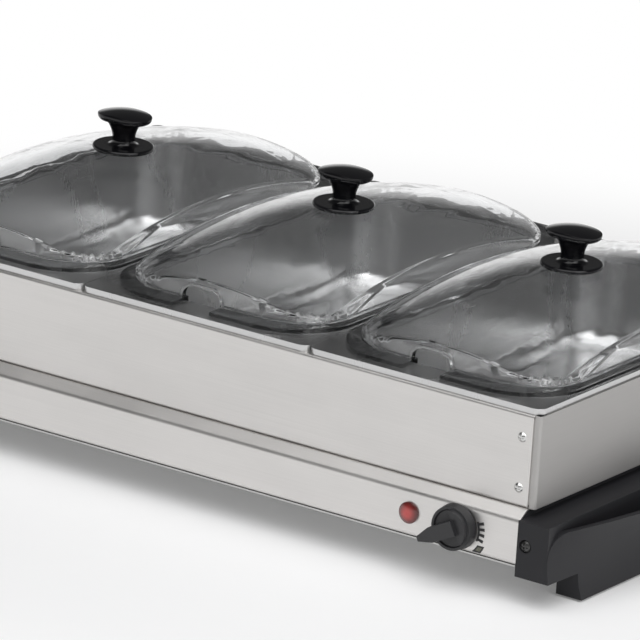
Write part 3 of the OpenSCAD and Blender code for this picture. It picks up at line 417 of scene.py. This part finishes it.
class WARMER_OT_sheet_metal(bpy.types.Operator):
    """Finish the base sheet, the frame and its dividers in brushed steel"""

    bl_idname = "warmer.sheet_metal"
    bl_label = "Sheet metal"

    def execute(self, context):
        steel = looks(context, "steel")
        dress(brushed_steel("base_steel", steel.base_color, "X", steel), "base_shell")
        dress(brushed_steel("frame_steel", steel.frame_color, "X", steel), "frame_front", "frame_back")
        dress(brushed_steel("divider_steel", steel.frame_color, "Y", steel), "divider_left", "divider_right")
        # Darker copy of the frame steel on the end panels: painted shade.
        dress(brushed_steel("frame_end_steel", steel.end_shaded_color, "Y", steel, dull=0.14), "frame_left", "frame_right")
        dress(plated_steel("bottom_plating", steel.plate_color, rough=0.35), "bottom_plate")
        return {"FINISHED"}


class WARMER_OT_pans(bpy.types.Operator):
    """Finish the pans in polished steel"""

    bl_idname = "warmer.pans"
    bl_label = "Pans"

    def execute(self, context):
        steel = looks(context, "steel")
        dress(polished_steel("pan_steel", steel.pan_color, steel), *(f"pan_{side}" for side in SIDES))
        return {"FINISHED"}


class WARMER_OT_lids(bpy.types.Operator):
    """Finish the lids in clear plastic"""

    bl_idname = "warmer.lids"
    bl_label = "Lids"

    def execute(self, context):
        dress(clear_plastic("lid_clear", looks(context, "plastic")), *(f"lid_{side}" for side in SIDES))
        for side in SIDES:
            smooth_facets(f"lid_{side}", LID_SMOOTHING)
        return {"FINISHED"}


class WARMER_OT_lid_knobs(bpy.types.Operator):
    """Finish the lid knobs in gloss black"""

    bl_idname = "warmer.lid_knobs"
    bl_label = "Lid knobs"

    def execute(self, context):
        black = moulded_plastic("lid_knob_gloss", looks(context, "plastic").knob_color, rough=0.05, grain_size=0.004,
                                grain_depth=0.00002, gloss=0.35)
        dress(black, *(f"lid_knob_{side}" for side in SIDES))
        return {"FINISHED"}


class WARMER_OT_end_caps(bpy.types.Operator):
    """Finish the end caps with their handles, the cord gland and the feet"""

    bl_idname = "warmer.end_caps"
    bl_label = "End caps and feet"

    def execute(self, context):
        plastic = looks(context, "plastic")
        caps = ("end_cap_left", "end_cap_right")
        grained = moulded_plastic("handle_grain", plastic.handle_color, rough=0.42, grain_size=0.0006,
                                  grain_depth=0.00006, gloss=0.25)
        dress(grained, *caps, "cord_gland", "gland_nut")
        for cap in caps:
            smooth_facets(cap, CAP_SMOOTHING)
        rubber = moulded_plastic("foot_rubber", plastic.rubber_color, rough=0.75, grain_size=0.0008,
                                 grain_depth=0.00005)
        dress(rubber, "foot_pads")
        return {"FINISHED"}


class WARMER_OT_controls(bpy.types.Operator):
    """Finish the thermostat knob and the pilot lens"""

    bl_idname = "warmer.controls"
    bl_label = "Controls"

    def execute(self, context):
        plastic = looks(context, "plastic")
        satin = moulded_plastic("dial_satin", plastic.dial_color, rough=0.36, grain_size=0.0007, grain_depth=0.00004)
        dress(satin, "control_knob")
        low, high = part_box("pilot_lens")
        # The pilot lens gets a painted glow in its middle and painted shade at its rim.
        red = painted_glow_lens("lens_red", plastic.lens_color, solid_middle("pilot_lens"), (high.x - low.x) / 2)
        dress(red, "pilot_lens")
        return {"FINISHED"}


PRINT_SINK = 0.00002


class WARMER_OT_dial_marks(bpy.types.Operator):
    """Print the ring, the ticks and the end wedge beside the thermostat knob"""

    bl_idname = "warmer.dial_marks"
    bl_label = "Dial marks"

    def execute(self, context):
        dial = looks(context, "dial")
        axis = solid_middle("thermostat_shaft")
        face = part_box("base_shell")[0].y
        mesh = bmesh.new()
        near = dial.ring_radius
        far = near + dial.ring_width
        end = far + dial.mark_length
        step = (dial.mark_last - dial.mark_first) / (dial.mark_count - 1)
        ring = self.sector(near, far, dial.mark_first - step / 2, dial.mark_last + step / 2)
        self.plate(mesh, ring, dial.print_height)
        for i in range(dial.mark_count):
            turn = dial.mark_first + step * i
            half = dial.mark_width / 2 / end
            self.plate(mesh, self.sector(far, end, turn + half, turn - half), dial.print_height)
        rim = dial.wedge_border
        near, far, top, base = far + rim, end + 2 * rim, dial.wedge_top, dial.wedge_base
        self.plate(mesh, self.between(near, far, top, base), dial.print_height)
        inner = self.between(near + rim, far - rim, top - rim, base + rim)
        self.plate(mesh, inner, dial.print_height * 2, 1)
        bmesh.ops.recalc_face_normals(mesh, faces=mesh.faces)
        data = bpy.data.meshes.new("dial_marks")
        mesh.to_mesh(data)
        mesh.free()
        marks = bpy.data.objects.new("dial_marks", data)
        context.scene.collection.objects.link(marks)
        data.transform(Matrix.Translation((axis.x, face, axis.z)))
        plastic = looks(context, "plastic")
        for name, color in (("dial_print", plastic.print_color), ("wedge_print", plastic.wedge_color)):
            f = new_finish(name)
            worn = f.noise(f.place(), 900.0, 3.0).rise(0.3, 0.8)
            data.materials.append(f.show(f.principled({
                "Base Color": f.shade(worn, color, tinted(color, 1.8)), "Roughness": 0.45 + worn * 0.2})))
        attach(marks, "base")
        return {"FINISHED"}

    def arc(self, radius, first, last, steps=8):
        turns = [first + (last - first) * i / steps for i in range(steps + 1)]
        return [(radius * math.cos(turn), radius * math.sin(turn)) for turn in turns]

    def sector(self, near, far, first, last):
        """Outline between two radii and two angles, counted from +X towards +Z."""
        return self.arc(far, first, last) + self.arc(near, last, first)

    def between(self, near, far, top, base):
        """Outline between two radii and two heights over the axis."""
        outer, inner = ([math.asin(height / radius) for height in (top, base)] for radius in (far, near))
        return self.arc(far, *outer) + self.arc(near, *reversed(inner))

    def plate(self, mesh, outline, height, paint=0):
        """A thin raised print with its outline in the plane of the base face."""
        front = [mesh.verts.new((x, -height, z)) for x, z in outline]
        back = [mesh.verts.new((x, PRINT_SINK, z)) for x, z in outline]
        faces = [front, back[::-1]]
        for i in range(len(outline)):
            k = (i + 1) % len(outline)
            faces.append((front[k], front[i], back[i], back[k]))
        for corners in faces:
            mesh.faces.new(corners).material_index = paint


class WARMER_OT_fasteners(bpy.types.Operator):
    """Finish the screws and washers"""

    bl_idname = "warmer.fasteners"
    bl_label = "Fasteners"

    def execute(self, context):
        steel = looks(context, "steel")
        bright = plated_steel("screw_plating", steel.screw_color, rough=0.18)
        dress(bright, "frame_screws", "bottom_screws", "thermostat_screws",
              *(f"knob_{kind}_{side}" for kind in ("screw", "washer") for side in SIDES))
        dress(plated_steel("dark_screw_plating", tinted(steel.screw_color, 0.12), rough=0.3), "end_cap_screws")
        return {"FINISHED"}


LEAD_COLORS = {
    "live_lead": (0.12, 0.05, 0.02), "heater_lead": (0.35, 0.02, 0.02), "neutral_lead": (0.03, 0.08, 0.3),
    "lamp_leads": (0.2, 0.2, 0.2), "earth_lead": (0.12, 0.25, 0.03)}


class WARMER_OT_heater(bpy.types.Operator):
    """Finish the heating element, its straps and shield, and the electrical pieces"""

    bl_idname = "warmer.heater"
    bl_label = "Heater and electrics"

    def execute(self, context):
        steel = looks(context, "steel")
        plastic = looks(context, "plastic")
        dress(plated_steel("element_sheath", tinted(steel.plate_color, 0.3), rough=0.5), "heating_element")
        dress(plated_steel("inner_plating", steel.plate_color, rough=0.3), "element_clips", "thermal_fuse",
              "pilot_clip", "thermostat_shaft")
        dress(brushed_steel("shield_aluminium", tinted(steel.frame_color, 1.1), "X", steel), "heat_shield")
        insulator = moulded_plastic("insulator_moulding", plastic.insulator_color, rough=0.5, grain_size=0.001,
                                    grain_depth=0.00004)
        dress(insulator, "thermostat_body", "terminal_block")
        lamp = moulded_plastic("lamp_moulding", plastic.lamp_color, rough=0.2, grain_size=0.001, grain_depth=0.00002)
        dress(lamp, "pilot_lamp")
        for lead, color in LEAD_COLORS.items():
            sleeve = moulded_plastic(f"{lead}_sleeve", color, rough=0.5, grain_size=0.0008, grain_depth=0.00003)
            dress(sleeve, lead)
        return {"FINISHED"}


# Stage


CAMERA_AIM = Vector((0, 0, 0.121))
LAMP_AIM = Vector((0, 0, 0.05))
SENSOR_WIDTH = 36.0
FLOOR_REACH = 30.0
FLOOR_FADE = (0.36, 0.70)
FLOOR_GLOW = 0.14
HORIZON_BAND = (0.02, 0.28)


class WARMER_OT_stage(bpy.types.Operator):
    """Set the camera, the floor, the lamps and the light from all round"""

    bl_idname = "warmer.stage"
    bl_label = "Stage"

    def execute(self, context):
        stage = looks(context, "stage")
        self.camera(context, stage)
        self.floor(context, stage)
        self.lamps(context, stage)
        self.world(context, stage)
        context.scene.view_settings.view_transform = "Standard"
        return {"FINISHED"}

    def camera(self, context, stage):
        """Camera at the photograph's angle, turned so that the part lies where it does in the picture."""
        a, e, r = stage.azimuth, stage.elevation, stage.roll
        back = Vector((math.sin(a) * math.cos(e), -math.cos(a) * math.cos(e), math.sin(e)))
        right = (-back).cross(Vector((0, 0, 1))).normalized()
        down = (-back).cross(right)
        right, down = right * math.cos(r) + down * math.sin(r), down * math.cos(r) - right * math.sin(r)
        eye = CAMERA_AIM + back * stage.distance
        look = (-back * stage.focal + right * (0.5 - stage.centre[0]) + down * (0.5 - stage.centre[1])).normalized()
        right = (right - look * right.dot(look)).normalized()
        up = right.cross(look)
        data = bpy.data.cameras.new("camera")
        data.sensor_width = SENSOR_WIDTH
        data.lens = SENSOR_WIDTH * stage.focal
        data.clip_end = 100.0
        camera = bpy.data.objects.new("camera", data)
        camera.matrix_world = Matrix.Translation(eye) @ Matrix((right, up, -look)).transposed().to_4x4()
        context.scene.collection.objects.link(camera)
        context.scene.camera = camera

    def floor(self, context, stage):
        """Pale floor that keeps the part's shadow and fades to white away from it."""
        mesh = bmesh.new()
        bmesh.ops.create_grid(mesh, x_segments=1, y_segments=1, size=FLOOR_REACH)
        data = bpy.data.meshes.new("floor")
        mesh.to_mesh(data)
        mesh.free()
        floor = bpy.data.objects.new("floor", data)
        context.scene.collection.objects.link(floor)
        f = new_finish("floor_pale")
        place = f.place()
        away = (place.along("X") ** 2.0 + place.along("Y") ** 2.0) ** 0.5
        speck = f.noise(place, 40.0, 2.0)
        white = f.node("ShaderNodeEmission", {}, {"Color": (1.0, 1.0, 1.0, 1.0), "Strength": 1.0})
        tone = f.shade(speck, tinted(stage.floor_color, 0.985), stage.floor_color)
        matt = f.node("ShaderNodeBsdfDiffuse", {}, {"Color": tone})
        fade = away.rise(*FLOOR_FADE) * (1.0 - FLOOR_GLOW) + FLOOR_GLOW
        data.materials.append(f.show(f.node("ShaderNodeMixShader", {}, {0: fade, 1: matt, 2: white})))

    def lamps(self, context, stage):
        """A large soft light above the front and a weak light from the right."""
        for name in ("key", "fill"):
            data = bpy.data.lights.new(name, "AREA")
            data.energy = getattr(stage, f"{name}_power")
            data.size = getattr(stage, f"{name}_size")
            lamp = bpy.data.objects.new(name, data)
            lamp.location = Vector(getattr(stage, f"{name}_place"))
            lamp.rotation_euler = (LAMP_AIM - lamp.location).to_track_quat("-Z", "Y").to_euler()
            context.scene.collection.objects.link(lamp)

    def world(self, context, stage):
        """Bright round the horizon and dim overhead, like a studio with a dark ceiling."""
        world = bpy.data.worlds.new("studio")
        context.scene.world = world
        f = Finish(world)
        height = f.node("ShaderNodeTexCoord", {}, {}, "Generated").along("Z")
        low, high = (f.node("ShaderNodeBackground", {}, {"Color": (1.0, 1.0, 1.0, 1.0), "Strength": strength})
                     for strength in (stage.horizon, stage.ceiling))
        f.show(f.node("ShaderNodeMixShader", {}, {0: height.rise(*HORIZON_BAND), 1: low, 2: high}),
               "ShaderNodeOutputWorld")


OPERATORS = (WARMER_OT_stage, WARMER_OT_sheet_metal, WARMER_OT_pans, WARMER_OT_lids, WARMER_OT_lid_knobs,
             WARMER_OT_end_caps, WARMER_OT_controls, WARMER_OT_dial_marks, WARMER_OT_fasteners, WARMER_OT_heater)


class WARMER_PT_panel(bpy.types.Panel):
    """Lists the warmer's settings and operators"""

    bl_idname = "WARMER_PT_panel"
    bl_label = "Buffet warmer"
    bl_space_type = "VIEW_3D"
    bl_region_type = "UI"
    bl_category = "Warmer"

    def draw(self, context):
        for operator in OPERATORS:
            self.layout.operator(operator.bl_idname)
        for name, group in GROUPS.items():
            box = self.layout.box()
            for key in group.__annotations__:
                box.prop(looks(context, name), key)


CLASSES = (*GROUPS.values(), *OPERATORS, WARMER_PT_panel)


def register():
    for cls in CLASSES:
        bpy.utils.register_class(cls)
    for name, group in GROUPS.items():
        setattr(bpy.types.Scene, f"warmer_{name}", PointerProperty(type=group))


def unregister():
    for name in GROUPS:
        delattr(bpy.types.Scene, f"warmer_{name}")
    for cls in reversed(CLASSES):
        bpy.utils.unregister_class(cls)


def main():
    register()
    for operator in OPERATORS:
        group, name = operator.bl_idname.split(".")
        getattr(getattr(bpy.ops, group), name)()


if __name__ == "__main__":
    main()
